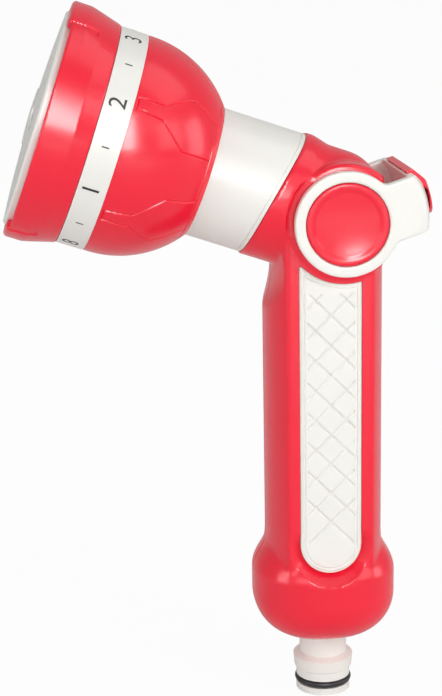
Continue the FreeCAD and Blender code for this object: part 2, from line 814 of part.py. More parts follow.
# ---- neck
def make_neck():
    plate_start = neck_end - plate_thickness
    root = rod(neck_root_radius, neck_root, neck_end)
    front = rod(neck_radius, neck_root, neck_end).cut(collar_edge_form(collar_gap))
    line_start = collar_gap + neck_line_offset
    line = collar_edge_form(line_start + neck_line_width).cut(collar_edge_form(line_start))
    skin = pipe(neck_radius - neck_line_depth, neck_radius + 1, neck_root, neck_end)
    front = front.cut(line.common(skin))
    neck = root.fuse(front)
    neck = neck.cut(rod(neck_root_radius - neck_wall, neck_root - 1, neck_step))
    neck = neck.cut(rod(neck_radius - neck_wall, neck_step, plate_start))
    hub_post = rod(dial_screw_radius + neck_wall, neck_end - dial_screw_bite - neck_wall, neck_end)
    port_boss = rod(seal_radius + 1.7, pocket_end - 2, neck_end, port_circle)
    detent_end = neck_end - detent_ball_radius - detent_spring_length - 1
    detent_boss = rod(detent_ball_radius + 1.6, detent_end - 1.5, neck_end, detent_circle)
    detent_boss.rotate(Vector(), Vector(0, 0, 1), 180 + turn_step / 2)
    inside = rod(neck_radius - neck_wall, neck_step, neck_end)
    bosses = fuse_all([hub_post, port_boss, detent_boss]).common(inside)
    neck = neck.fuse(bosses)
    neck = neck.cut(rod(dial_screw_radius, neck_end - dial_screw_bite, neck_end + 1))
    neck = neck.cut(rod(seal_radius + seat_gap, pocket_end, neck_end + 1, port_circle))
    neck = neck.cut(rod(seal_bore, pocket_end - 5, neck_end, port_circle))
    pocket = rod(detent_ball_radius + running_fit, detent_end, neck_end + 1, detent_circle)
    pocket.rotate(Vector(), Vector(0, 0, 1), 180 + turn_step / 2)
    neck = neck.cut(pocket)
    neck = neck.cut(pipe(neck_root_radius - groove_fall, neck_radius + 1,
                         groove_start, groove_start + groove_length))
    save("neck_barrel", put(neck.removeSplitter(), head_place))
    seal = pipe(seal_bore, seal_radius, seal_face - seal_length, seal_face, port_circle)
    save("port_seal", put(seal, head_place))
    spring_radius = (seal_radius + seal_bore) / 2
    spring = coil(spring_radius, port_spring_wire, pocket_end,
                  seal_face - seal_length - pocket_end, port_spring_turns, port_circle)
    save("port_spring", put(spring, head_place))
    ball_centre = seal_face - detent_ball_radius
    ball = Part.makeSphere(detent_ball_radius, Vector(detent_circle, 0, ball_centre))
    ball.rotate(Vector(), Vector(0, 0, 1), 180 + turn_step / 2)
    save("detent_ball", put(ball, head_place))
    spring = coil(detent_ball_radius * 0.6, detent_spring_wire, detent_end,
                  ball_centre - detent_ball_radius * 0.8 - detent_end, detent_spring_turns, detent_circle)
    spring.rotate(Vector(), Vector(0, 0, 1), 180 + turn_step / 2)
    save("detent_spring", put(spring, head_place))


def make_bulkhead():
    end = bulkhead_start + bulkhead_thickness
    plate = rod(neck_root_radius - neck_wall - running_fit, bulkhead_start, end)
    socket = rod(outlet_radius + bulkhead_socket_wall, bulkhead_start, outlet_end)
    bulkhead = plate.fuse(socket).cut(rod(outlet_radius + running_fit, 0, outlet_end + 1)).removeSplitter()
    save("neck_bulkhead", put(bulkhead, head_place))
    section = outlet_ring_section - running_fit
    ring = o_ring(outlet_radius - section / 2, section, outlet_ring_station)
    save("bulkhead_seal", put(ring, head_place))


def make_dial_screw():
    head_start = web_end + running_fit + dial_washer_thickness
    head = rod(dial_screw_head, head_start, head_start + dial_screw_head_height)
    shank = rod(dial_screw_radius, neck_end - dial_screw_bite, head_start)
    arm = dial_screw_head * 0.65
    slot = block((-arm, arm), (-0.5, 0.5), (head_start + dial_screw_head_height / 2, head_start + 9))
    cross = slot.copy()
    cross.rotate(Vector(), Vector(0, 0, 1), 90)
    save("dial_screw", put(head.fuse(shank).cut(slot.fuse(cross)).removeSplitter(), head_place))
    washer = pipe(dial_screw_radius + running_fit, dial_washer_radius, web_end + running_fit, head_start)
    save("dial_washer", put(washer, head_place))


# ---- dial head
def make_dome():
    opening = neck_radius + slide_gap
    inner = dome_radius - dome_wall
    opening_outer = dome_centre - math.sqrt(dome_radius ** 2 - opening ** 2)
    opening_inner = dome_centre - math.sqrt(inner ** 2 - opening ** 2)
    seat = math.sqrt(dome_radius ** 2 - (band_start - dome_centre) ** 2)
    middle = dome_radius * math.sqrt(0.5)
    inner_middle = inner * math.sqrt(0.5)
    dome = turned([(opening, opening_outer, (middle, dome_centre - middle)),
                   (seat, band_start), (sleeve_radius, band_start), (sleeve_radius, sleeve_end),
                   (sleeve_bore, sleeve_end), (sleeve_bore, dome_centre + 1),
                   (inner, dome_centre, (inner_middle, dome_centre - inner_middle)),
                   (opening, opening_inner)])
    save("head_dome", put(dome, head_place))


def make_band():
    inner = sleeve_radius + running_fit
    end = band_start + band_width - 2 * running_fit
    band = pipe(inner, band_radius, band_start + running_fit, end)
    save("label_band", put(band, head_place))


def make_rim():
    start = band_start + band_width
    inner = sleeve_radius + running_fit
    lip = face_radius + seat_gap
    rim = turned([(inner, start), (rim_foot_radius, start), (rim_radius - rim_round, rim_taper_end),
                  (rim_radius, rim_taper_end + rim_swell), (rim_radius, rim_end - rim_round),
                  (rim_radius - rim_round, rim_end), (lip, rim_end), (lip, sleeve_end + seat_gap),
                  (inner, sleeve_end + seat_gap)])
    recess = Part.makeCylinder(rim_radius + 2, rim_end - recess_start + 1, Vector(0, 0, recess_start),
                               Vector(0, 0, 1), recess_angle)
    recess = recess.cut(rod(rim_radius - recess_depth, recess_start - 1, recess_end))
    rim = rim.cut(Part.makeCompound(around(recess, 2, 90 - recess_angle / 2)))
    save("rim_ring", put(rim, head_place))


def chamber_room(start, end):
    """Eight wedge-shaped chambers, as solids to cut away."""
    ring = pipe(chamber_inner, chamber_outer, start, end)
    plate = block((0, chamber_outer + 1), (-chamber_wall / 2, chamber_wall / 2), (start, end))
    spokes = around(plate, chamber_count, turn_step / 2)
    return ring.cut(spokes[0].multiFuse(spokes[1:]))


def make_manifold():
    outer = sleeve_bore - 2 * seat_gap
    body = turned([(0, manifold_rear), (manifold_radius, manifold_rear), (manifold_radius, web_end),
                   (outer, manifold_floor), (outer, manifold_end), (0, manifold_end)])
    body = body.cut(chamber_room(manifold_floor, manifold_end + 1))
    ports = around(rod(dial_port_radius, manifold_rear - 1, manifold_floor + 1, port_circle), chamber_count)
    reach = seal_face + dimple_depth
    dimple_radius = detent_ball_radius + 0.2
    dimple = Part.makeSphere(dimple_radius, Vector(detent_circle, 0, reach - dimple_radius + 0.15))
    dimples = around(dimple, chamber_count, turn_step / 2)
    body = body.cut(Part.makeCompound(ports)).cut(Part.makeCompound(dimples))
    body = body.cut(rod(dial_screw_radius + running_fit + bush_wall, manifold_rear - 1, web_end + 1))
    body = body.cut(rod(dial_washer_radius + slide_gap, web_end, manifold_end + 1))
    save("water_manifold", put(body, head_place))
    bush = pipe(dial_screw_radius + running_fit, dial_screw_radius + running_fit + bush_wall,
                manifold_rear, web_end)
    save("dial_bush", put(bush, head_place))
    gasket = rod(outer, manifold_end, manifold_end + gasket_thickness)
    gasket = gasket.cut(chamber_room(manifold_end - 1, manifold_end + gasket_thickness + 1))
    gasket = gasket.cut(rod(dial_washer_radius + slide_gap, manifold_end - 1, face_front))
    save("face_gasket", put(gasket, head_place))


def nozzle_holes():
    """One spray pattern per chamber: hole radius, share of the chamber's depth, degrees aside."""
    start, end = face_front - face_thickness - 1, face_front + face_crown + 1
    near = chamber_inner + nozzle_margin
    far = chamber_outer - nozzle_edge
    patterns = {
        "shower": [(0.55, 0.0, 0), (0.55, 0.33, -12), (0.55, 0.33, 12), (0.55, 0.67, -12),
                   (0.55, 0.67, 0), (0.55, 0.67, 12), (0.55, 1.0, -14), (0.55, 1.0, -4.7),
                   (0.55, 1.0, 4.7), (0.55, 1.0, 14)],
        "jet": [(1.7, 0.48, 0)],
        "cone": [(0.9, 0.2, 0), (0.9, 0.8, -9), (0.9, 0.8, 9)],
        "flat": [(0.8, share, 0) for share in (0.2, 0.34, 0.48, 0.62, 0.76)],
        "soaker": [(1.3, 0.15, 0), (1.3, 0.52, -9), (1.3, 0.52, 9), (1.3, 0.9, 0)],
        "mist": [(0.4, 0.15, 0), (0.4, 0.62, -10), (0.4, 0.62, 10), (0.4, 1.0, 0)],
        "centre": [(2.4, 0.38, 0)],
        "full": [(0.8, 0.15, 0), (0.8, 0.52, -10), (0.8, 0.52, 10), (0.8, 0.9, -12),
                 (0.8, 0.9, 0), (0.8, 0.9, 12)],
    }
    holes = []
    for index, pattern in enumerate(patterns.values()):
        for radius, share, aside in pattern:
            hole = rod(radius, start, end, near + share * (far - near))
            hole.rotate(Vector(), Vector(0, 0, 1), index * turn_step + aside)
            holes.append(hole)
    return holes


def make_face():
    start = face_front - face_thickness
    edge_round = 0.5
    edge = face_radius - edge_round
    crown = face_front + face_crown
    face = turned([(0, start), (face_radius, start), (face_radius, face_front - edge_round),
                   (edge, face_front, bow(edge, face_front, crown)), (0, crown)])
    face = face.cut(Part.makeCompound(nozzle_holes()))
    land = rod(face_cap_radius + seat_gap, face_front, crown + 1)
    face = face.cut(land).cut(rod(face_cap_spigot + running_fit, start - 1, crown))
    save("face_plate", put(face, head_place))
    shoulder = crown + face_cap_height * 0.4
    top = crown + face_cap_height
    cap = turned([(0, start), (face_cap_spigot, start), (face_cap_spigot, face_front),
                  (face_cap_radius, face_front),
                  (face_cap_radius, shoulder, bow(face_cap_radius, shoulder, top)), (0, top)])
    save("face_cap", put(cap, head_place))


make_shells()
make_shell_screws()
make_panels()
make_yoke()
make_hub_caps()
make_hub_screws()
make_plug()
make_valve_body()
make_valve_seats()
make_tube()
make_inlet()
make_neck()
make_bulkhead()
make_dial_screw()
make_dome()
make_band()
make_rim()
make_manifold()
make_face()
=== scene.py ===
import json
import math

import bmesh
import bpy
from mathutils import Matrix, Vector, kdtree


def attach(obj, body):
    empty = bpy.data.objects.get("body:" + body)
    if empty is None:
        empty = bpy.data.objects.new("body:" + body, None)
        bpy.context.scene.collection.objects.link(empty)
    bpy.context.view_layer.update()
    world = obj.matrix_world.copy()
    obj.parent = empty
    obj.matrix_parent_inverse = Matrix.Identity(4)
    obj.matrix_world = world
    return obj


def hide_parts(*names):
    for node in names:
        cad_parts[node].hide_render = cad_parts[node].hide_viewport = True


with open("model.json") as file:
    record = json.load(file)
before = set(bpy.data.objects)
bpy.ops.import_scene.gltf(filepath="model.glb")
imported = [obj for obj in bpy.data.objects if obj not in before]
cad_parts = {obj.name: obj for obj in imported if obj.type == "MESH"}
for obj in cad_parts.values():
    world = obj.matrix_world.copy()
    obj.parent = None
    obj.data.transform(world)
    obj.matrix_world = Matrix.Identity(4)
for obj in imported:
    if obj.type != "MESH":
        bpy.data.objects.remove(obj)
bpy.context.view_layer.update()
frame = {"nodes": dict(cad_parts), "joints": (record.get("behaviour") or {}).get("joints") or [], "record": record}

toMetres = Matrix.Scale(0.001, 4)
jointByName = {joint["name"]: joint for joint in frame["joints"]}
pivot = Vector(jointByName["lever_swing"]["pos_m"]) * 1000  # millimetres from here on
headAxis = Vector(jointByName["dial_turn"]["axis"]).normalized()
sideAxis = Vector((0, 1, 0))

# headPlace: +Z along the head and +X its upper side. hubPlace: +Z out of the left side, +Y up
headPlace = Matrix.Translation(pivot) @ Matrix(
    (sideAxis.cross(headAxis), sideAxis, headAxis)).transposed().to_4x4()
upright = Matrix.Rotation(math.pi / 2, 4, "X")
hubPlace = Matrix.Translation(pivot) @ upright
weldDistance = 1e-4


def linked(name, mesh):
    thing = bpy.data.objects.new(name, mesh)
    bpy.context.scene.collection.objects.link(thing)
    return thing


def blank(bm, name, place=Matrix.Identity(4)):
    # an object of what was shaped; the pieces are still in millimetres here
    bm.transform(place)
    mesh = bpy.data.meshes.new(name)
    bm.to_mesh(mesh)
    bm.free()
    return linked(name, mesh)


def settle(thing, sharpAngle=35):
    # the finished piece in metres, with its edges sharp only past an angle
    thing.data.transform(toMetres)
    thing.data.shade_smooth()
    thing.data.set_sharp_from_angle(angle=math.radians(sharpAngle))
    return thing


def arcPoints(centre, radius, start, end, count):
    angles = [math.radians(start + (end - start) * step / count) for step in range(count + 1)]
    return [(centre[0] + radius * math.cos(a), centre[1] + radius * math.sin(a)) for a in angles]


def spun(outline, steps=192, closed=True):
    # turns an outline of (radius, height) points about Z
    bm = bmesh.new()
    points = [bm.verts.new((radius, 0, height)) for radius, height in outline]
    pairs = list(zip(points, points[1:])) + ([(points[-1], points[0])] if closed else [])
    edges = [bm.edges.new(pair) for pair in pairs]
    bmesh.ops.spin(bm, geom=points + edges, cent=(0, 0, 0), axis=(0, 0, 1),
                   angle=2 * math.pi, steps=steps, use_merge=True)
    bmesh.ops.remove_doubles(bm, verts=bm.verts, dist=weldDistance)
    bmesh.ops.recalc_face_normals(bm, faces=bm.faces)
    return bm


def slab(outline, low, high):
    # a flat outline of (x, y) points made into a solid from one height to another
    bm = bmesh.new()
    face = bm.faces.new([bm.verts.new((x, y, low)) for x, y in outline])
    raised = bmesh.ops.extrude_face_region(bm, geom=[face])["geom"]
    moved = [part for part in raised if isinstance(part, bmesh.types.BMVert)]
    bmesh.ops.translate(bm, verts=moved, vec=(0, 0, high - low))
    bmesh.ops.recalc_face_normals(bm, faces=bm.faces)
    return bm


def drum(radius, low, high, steps=192):
    return spun([(0, low), (radius, low), (radius, high), (0, high)], steps, closed=False)


def applyModifiers(thing):
    graph = bpy.context.evaluated_depsgraph_get()
    mesh = bpy.data.meshes.new_from_object(thing.evaluated_get(graph))
    old = thing.data
    thing.modifiers.clear()
    thing.data = mesh
    bpy.data.meshes.remove(old)
    return thing


def combined(thing, tool, operation):
    change = thing.modifiers.new("combine", "BOOLEAN")
    change.operation = operation
    change.object = tool
    change.solver = "MANIFOLD"
    applyModifiers(thing)
    bpy.data.objects.remove(tool)
    return thing


def joined(name, things):
    bm = bmesh.new()
    for thing in things:
        bm.from_mesh(thing.data)
        bpy.data.objects.remove(thing)
    return blank(bm, name)


def everything(bm):
    return bm.verts[:] + bm.edges[:] + bm.faces[:]


def mirrored(thing, name):
    # the same piece on the other side
    bm = bmesh.new()
    bm.from_mesh(thing.data)
    bm.transform(Matrix.Scale(-1, 4, sideAxis))
    bm.normal_update()
    bmesh.ops.recalc_face_normals(bm, faces=bm.faces)
    return blank(bm, name)


def reskinned(thing, voxel, passes):
    # one continuous skin over what was joined, with its edges rounded
    skin = thing.modifiers.new("skin", "REMESH")
    skin.mode = "VOXEL"
    skin.voxel_size = voxel
    applyModifiers(thing)
    bm = bmesh.new()
    bm.from_mesh(thing.data)
    for turn in range(passes):
        bmesh.ops.smooth_vert(bm, verts=bm.verts, factor=0.5,
                              use_axis_x=True, use_axis_y=True, use_axis_z=True)
    bm.to_mesh(thing.data)
    bm.free()
    return thing


# finishes: every one is a moulded or turned surface with its own grain and slight unevenness
plasticLooks = {
    "glossRed": {"colour": (0.93, 0.012, 0.042), "shade": (0.87, 0.008, 0.032),
                 "roughness": (0.21, 0.26), "grain": 0.006, "grainScale": 420, "coat": 0.12},
    "satinWhite": {"colour": (0.88, 0.875, 0.83), "shade": (0.84, 0.83, 0.78),
                   "roughness": (0.3, 0.38), "grain": 0.008, "grainScale": 420, "coat": 0.1},
    "softWhite": {"colour": (0.88, 0.875, 0.83), "shade": (0.83, 0.82, 0.77),
                  "roughness": (0.48, 0.58), "grain": 0.015, "grainScale": 700, "coat": 0.0},
    "blackRubber": {"colour": (0.012, 0.012, 0.013), "shade": (0.022, 0.022, 0.023),
                    "roughness": (0.3, 0.42), "grain": 0.01, "grainScale": 900, "coat": 0.0},
    "greyPlastic": {"colour": (0.34, 0.35, 0.36), "shade": (0.29, 0.3, 0.31),
                    "roughness": (0.4, 0.5), "grain": 0.01, "grainScale": 600, "coat": 0.0},
    "slipperyPlastic": {"colour": (0.8, 0.8, 0.77), "shade": (0.74, 0.74, 0.71),
                        "roughness": (0.35, 0.45), "grain": 0.008, "grainScale": 600, "coat": 0.0},
    "inkBlack": {"colour": (0.018, 0.018, 0.02), "shade": (0.03, 0.03, 0.032),
                 "roughness": (0.3, 0.4), "grain": 0.003, "grainScale": 900, "coat": 0.0},
}
# what all the plastics share: the drift's scale, the noise's detail and middle span
plasticBase = {"coatRoughness": 0.12, "driftScale": 60, "driftDetail": 4, "grainDetail": 3,
               "grainSpan": (0.3, 0.7), "bump": 0.5}
steelLook = {"colour": (0.55, 0.55, 0.57), "markScale": 1500, "markDetail": 5,
             "roughness": (0.22, 0.42)}


def noiseFor(nodes, links, scale, detail):
    place = nodes.new("ShaderNodeTexCoord")
    noise = nodes.new("ShaderNodeTexNoise")
    noise.inputs["Scale"].default_value = scale
    noise.inputs["Detail"].default_value = detail
    links.new(place.outputs["Object"], noise.inputs["Vector"])
    return noise


def roughenBy(nodes, links, noise, roughness, shader):
    gloss = nodes.new("ShaderNodeMapRange")
    gloss.inputs["To Min"].default_value = roughness[0]
    gloss.inputs["To Max"].default_value = roughness[1]
    links.new(noise.outputs["Fac"], gloss.inputs["Value"])
    links.new(gloss.outputs["Result"], shader.inputs["Roughness"])
    return gloss


def mouldedPlastic(name, look):
    material = bpy.data.materials.new(name)
    material.use_nodes = True
    nodes, links = material.node_tree.nodes, material.node_tree.links
    shader = nodes["Principled BSDF"]
    shader.inputs["Coat Weight"].default_value = look["coat"]
    shader.inputs["Coat Roughness"].default_value = plasticBase["coatRoughness"]

    # slow drift in colour
    drift = noiseFor(nodes, links, plasticBase["driftScale"], plasticBase["driftDetail"])
    tint = nodes.new("ShaderNodeMix")
    tint.data_type = "RGBA"
    tint.inputs["A"].default_value = (*look["colour"], 1)
    tint.inputs["B"].default_value = (*look["shade"], 1)
    links.new(drift.outputs["Fac"], tint.inputs["Factor"])
    links.new(tint.outputs["Result"], shader.inputs["Base Color"])

    # the mould's grain, in gloss and in relief
    grain = noiseFor(nodes, links, look["grainScale"], plasticBase["grainDetail"])
    gloss = roughenBy(nodes, links, grain, look["roughness"], shader)
    gloss.inputs["From Min"].default_value = plasticBase["grainSpan"][0]
    gloss.inputs["From Max"].default_value = plasticBase["grainSpan"][1]
    bump = nodes.new("ShaderNodeBump")
    bump.inputs["Strength"].default_value = plasticBase["bump"]
    bump.inputs["Distance"].default_value = look["grain"] / 1000
    links.new(grain.outputs["Fac"], bump.inputs["Height"])
    links.new(bump.outputs["Normal"], shader.inputs["Normal"])
    return material


def turnedSteel():
    material = bpy.data.materials.new("turnedSteel")
    material.use_nodes = True
    nodes, links = material.node_tree.nodes, material.node_tree.links
    shader = nodes["Principled BSDF"]
    shader.inputs["Metallic"].default_value = 1
    shader.inputs["Base Color"].default_value = (*steelLook["colour"], 1)
    marks = noiseFor(nodes, links, steelLook["markScale"], steelLook["markDetail"])
    roughenBy(nodes, links, marks, steelLook["roughness"], shader)
    return material


finish = {name: mouldedPlastic(name, look) for name, look in plasticLooks.items()}
finish["turnedSteel"] = turnedSteel()
finishOfSlot = {"red_plastic": "glossRed", "white_plastic": "satinWhite",
                "white_soft": "softWhite", "black_rubber": "blackRubber",
                "grey_plastic": "greyPlastic", "slippery_plastic": "slipperyPlastic",
                "steel": "turnedSteel"}
print("finishes made:", len(finish))

slotOfNode = {part["node"]: part["material_slot"] for part in frame["record"]["subparts"]}
for node, thing in frame["nodes"].items():
    thing.data.materials.clear()
    thing.data.materials.append(finish[finishOfSlot[slotOfNode[node]]])
print("CAD nodes finished:", len(frame["nodes"]))


def dress(piece, body, slot, finishName, *nodes):
    piece.data.materials.clear()
    piece.data.materials.append(finish[finishName])
    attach(piece, body)
    if nodes:
        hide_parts(*nodes)
    return piece


# the grip's two shells share one skin: grip, flare, hub drum and neck collar run into each other
grip = {"halfDepth": 15.95, "halfWidth": 15.5, "bow": 28.16, "cornerPower": 70,
        "top": pivot.z - 2, "scoopRadius": 30, "scoopDepth": 2.3, "scoopBow": 60,
        "scoopHeight": pivot.z - 12.8, "segments": 360, "layer": 0.5}
flare = {"halfDepth": 19.7, "halfWidth": 19, "fullness": 2.3, "round": 12.5, "floor": 17.8,
         "shoulder": 36.5, "shoulderHeight": 11, "sink": 0.3, "fade": 20, "blendPower": 60,
         "roundStep": 3}
hub = {"radius": 15.3, "halfWidth": 15.9, "edge": 1.4, "backBow": 52, "backSteps": 384}
collar = {"waist": 16.6, "waistStart": 2, "waistEnd": 8, "waistRound": 12, "radius": 17.75,
          "flareEnd": 12.5, "reach": 37.3, "edgeRadius": 95, "edgeLean": 11.6, "edge": 20,
          "edgeGrow": 0.12, "edgeSpan": 40, "edgeSteps": 512, "leverGap": 0.4, "leverReach": 20}
skin = {"voxel": 0.38, "passes": 4, "seamWidth": 0.5, "seamDepth": 0.15}
panelSeat = {"halfWidth": 8.2, "foot": 48.2, "hubReach": 16.1, "top": pivot.z - 11.2, "gap": 0.1,
             "floor": 13.3, "face": 15.65, "clear": 2}
# the sloped band that leads from the flare down to the panel's foot
footBand = {"inner": 8.5, "outer": 11.2, "level": 15.5, "dip": 1.7, "dipRise": 3.5}
# rooms inside the shells for the valve, the water tube and the neck: a radius or two half
# widths, then the two ends
rooms = {"flange": (11.8, 20.6, 27.2), "foot": (16.5, 12.5, 25, 38), "grip": (11.2, 11, 36, 118.2),
         "throat": (9, 11, 116, 131), "valve": (9.6, -10.8, 10.8), "bearing": (7.5, -20, 20),
         "lugLeft": (9.4, 13.9, 20), "lugRight": (9.4, -20, -13.9),
         "outlet": (9.2, 0, 12), "neck": (14.75, 11.6, 45), "spigot": (6.75, 10, 22)}


def gripRadius(angle):
    across, along = abs(math.sin(angle)), abs(math.cos(angle))
    centre = grip["halfDepth"] - grip["bow"]
    bow = centre * along + math.sqrt(grip["bow"] ** 2 - (centre * across) ** 2)
    side = grip["halfWidth"] / max(across, 1e-6)
    power = grip["cornerPower"]
    return (side ** -power + bow ** -power) ** (-1 / power)


def flareRadius(angle, z):
    inset = 0
    if z < flare["floor"] + flare["round"]:
        rise = 1 - (z - flare["floor"]) / flare["round"]
        inset = flare["round"] * (1 - math.sqrt(max(0, 1 - rise ** 2)))
    elif z > flare["shoulder"]:
        share = (z - flare["shoulder"]) / flare["shoulderHeight"]
        depth = flare["halfDepth"] - grip["halfDepth"] + flare["sink"]
        inset = depth * (1 - math.cos(math.pi * min(share, 1))) / 2
        inset += flare["fade"] * max(0, share - 1)
    long, wide = flare["halfDepth"] - inset, flare["halfWidth"] - inset
    if min(long, wide) < 1:
        return 0.0
    power = flare["fullness"]
    along, across = abs(math.cos(angle)) / long, abs(math.sin(angle)) / wide
    return (along ** power + across ** power) ** (-1 / power)


def gripPoint(angle, z):
    power = flare["blendPower"]
    radius = flareRadius(angle, z)
    if z > flare["floor"] + flare["round"]:
        upper = gripRadius(angle)
        radius = upper * (1 + (radius / upper) ** power) ** (1 / power)
    x, y = radius * math.cos(angle), radius * math.sin(angle)
    # the hollow for the first finger under the collar
    scoopX = grip["scoopDepth"] - grip["halfDepth"] - grip["scoopRadius"]
    rise = z - grip["scoopHeight"]
    if abs(rise) < grip["scoopRadius"]:
        hollow = scoopX + math.sqrt(grip["scoopRadius"] ** 2 - rise ** 2)
        x = max(x, hollow + y ** 2 / (2 * grip["scoopBow"]))
    return x, y, z


def gripLoft():
    bm = bmesh.new()
    step = flare["roundStep"]
    heights = [flare["floor"] + flare["round"] * (1 - math.cos(math.radians(angle)))
               for angle in range(step, 90 + step, step)]
    while heights[-1] < grip["top"]:
        heights.append(heights[-1] + grip["layer"])
    ring = bmesh.ops.create_circle(bm, segments=grip["segments"], radius=1,
                                   cap_ends=True)["verts"]
    edges = bm.edges[:]
    for z in heights:
        if z > heights[0]:
            grown = bmesh.ops.extrude_edge_only(bm, edges=edges)["geom"]
            edges = [part for part in grown if isinstance(part, bmesh.types.BMEdge)]
            ring = [part for part in grown if isinstance(part, bmesh.types.BMVert)]
        for vertex in ring:
            vertex.co = gripPoint(math.atan2(vertex.co.y, vertex.co.x), z)
    bmesh.ops.holes_fill(bm, edges=edges)
    bmesh.ops.recalc_face_normals(bm, faces=bm.faces)
    return blank(bm, "gripLoft")


def backBow():
    # the hub's back and the grip's back are one bowed surface
    return blank(drum(hub["backBow"], 0, 2 * pivot.z, hub["backSteps"]), "backBow",
                 Matrix.Translation((grip["halfDepth"] - hub["backBow"], 0, 0)))


def hubDrum():
    edge, radius, half = hub["edge"], hub["radius"], hub["halfWidth"]
    outline = [(0, -half)] + arcPoints((radius - edge, edge - half), edge, -90, 0, 8)
    outline += arcPoints((radius - edge, half - edge), edge, 0, 90, 8) + [(0, half)]
    piece = blank(spun(outline, closed=False), "hubDrum", hubPlace)
    return combined(piece, backBow(), "INTERSECT")


def edgeBow():
    # everything behind the collar's bowed front edge
    lean = math.radians(collar["edgeLean"])
    x = -collar["edgeRadius"] * math.sin(lean)
    z = collar["edge"] - collar["edgeRadius"] * math.cos(lean)
    bow = drum(collar["edgeRadius"] + collar["edgeGrow"], -collar["edgeSpan"],
               collar["edgeSpan"], collar["edgeSteps"])
    return blank(bow, "edgeBow", headPlace @ (Matrix.Translation((x, 0, z)) @ upright))


def neckCollar():
    turn, waist = collar["waistRound"], collar["waist"]
    outline = [(0, collar["waistStart"] - turn)]
    outline += arcPoints((waist - turn, collar["waistStart"]), turn, -90, 0, 24)
    outline += [(waist, collar["waistEnd"]), (collar["radius"], collar["flareEnd"]),
                (collar["radius"], collar["reach"]), (0, collar["reach"])]
    piece = blank(spun(outline, closed=False), "neckCollar", headPlace)
    combined(combined(piece, edgeBow(), "INTERSECT"), backBow(), "INTERSECT")
    half, reach = hub["halfWidth"], collar["leverReach"]
    for low, high in ((half, reach), (-reach, -half)):
        room = drum(hub["radius"] + collar["leverGap"], low, high)
        combined(piece, blank(room, "leverRoom", hubPlace), "DIFFERENCE")
    return piece


def panelOutline(grow):
    half, reach = panelSeat["halfWidth"] + grow, panelSeat["hubReach"] - grow
    top = panelSeat["top"] + grow
    foot = arcPoints((0, panelSeat["foot"]), half, 180, 360, 48)
    right = math.degrees(math.acos((half - pivot.x) / reach))
    left = 90 + math.degrees(math.acos((pivot.z - top) / reach))
    return foot + arcPoints((pivot.x, pivot.z), reach, -right, -left, 32) + [(-half, top)]


def panelRecess():
    outline = panelOutline(panelSeat["gap"])
    high = panelSeat["face"] + panelSeat["clear"]
    return blank(slab(outline, panelSeat["floor"], high), "recess", upright)


def bandLevel(x, y, z):
    # how far out the shell's side stands inside the band around the panel's foot
    above = z - panelSeat["foot"]
    away = math.hypot(x, min(0, above))
    share = (away - footBand["inner"]) / (footBand["outer"] - footBand["inner"])
    sunk = min(1, max(0, 1 - above / footBand["dipRise"]))
    low = footBand["level"] - footBand["dip"] * sunk
    if share >= 1 or sunk == 0 or abs(y) < low:
        return y
    return math.copysign(low + (abs(y) - low) * max(0, share), y)


def shellRooms():
    tools = []
    for name in ("flange", "spigot"):
        tools.append(blank(drum(*rooms[name]), name))
    for name in ("valve", "bearing", "lugLeft", "lugRight"):
        tools.append(blank(drum(*rooms[name]), name, hubPlace))
    for name in ("outlet", "neck"):
        tools.append(blank(drum(*rooms[name]), name, headPlace))
    for name in ("grip", "throat"):
        x, y, low, high = rooms[name]
        tools.append(blank(slab([(-x, -y), (x, -y), (x, y), (-x, y)], low, high), name))
    long, wide, low, high = rooms["foot"]
    oval = [(long * x, wide * y) for x, y in arcPoints((0, 0), 1, 0, 358, 179)]
    tools.append(blank(slab(oval, low, high), "foot"))
    return tools


def makeShells():
    whole = reskinned(joined("shellSkin", [gripLoft(), hubDrum(), neckCollar()]),
                      skin["voxel"], skin["passes"])
    bm = bmesh.new()
    bm.from_mesh(whole.data)
    bpy.data.objects.remove(whole)
    cut = bmesh.ops.bisect_plane(bm, geom=everything(bm), plane_co=(0, 0, 0), plane_no=(0, 1, 0),
                                 clear_outer=True)["geom_cut"]
    bm.normal_update()
    for vertex in bm.verts:
        near = 1 + vertex.co.y / skin["seamWidth"]
        if near > 0:
            inward = Vector((vertex.normal.x, 0, vertex.normal.z)).normalized()
            vertex.co -= inward * skin["seamDepth"] * near
    bmesh.ops.holes_fill(bm, edges=[part for part in cut if isinstance(part, bmesh.types.BMEdge)])
    for vertex in bm.verts:
        vertex.co.y = bandLevel(*vertex.co)
    bmesh.ops.recalc_face_normals(bm, faces=bm.faces)
    left = blank(bm, "leftShell")
    for tool in shellRooms() + [panelRecess()]:
        combined(left, tool, "DIFFERENCE")
    right = mirrored(left, "rightShell")
    dress(settle(left), "body", "red_plastic", "glossRed", "left_shell")
    dress(settle(right), "body", "red_plastic", "glossRed", "right_shell")
    print("shells:", len(left.data.polygons), "faces each")


makeShells()


# the grip panels: a raised border and a field of diamonds
panelLook = {"voxel": 0.21, "passes": 2, "edgeWidth": 1.0, "edgeDrop": 0.45, "fieldHalf": 6.35,
             "lineDepth": 0.5, "lineHalf": 0.42, "pitch": 8.132, "phase": 46.35, "fieldLow": 48.5,
             "fieldTop": pivot.z - 18.6, "frame": 1.2, "frameHalf": 0.3, "frameDepth": 0.38,
             "skin": 0.15}


def groove(away, half):
    return max(0, 1 - (away / half) ** 2) ** 2


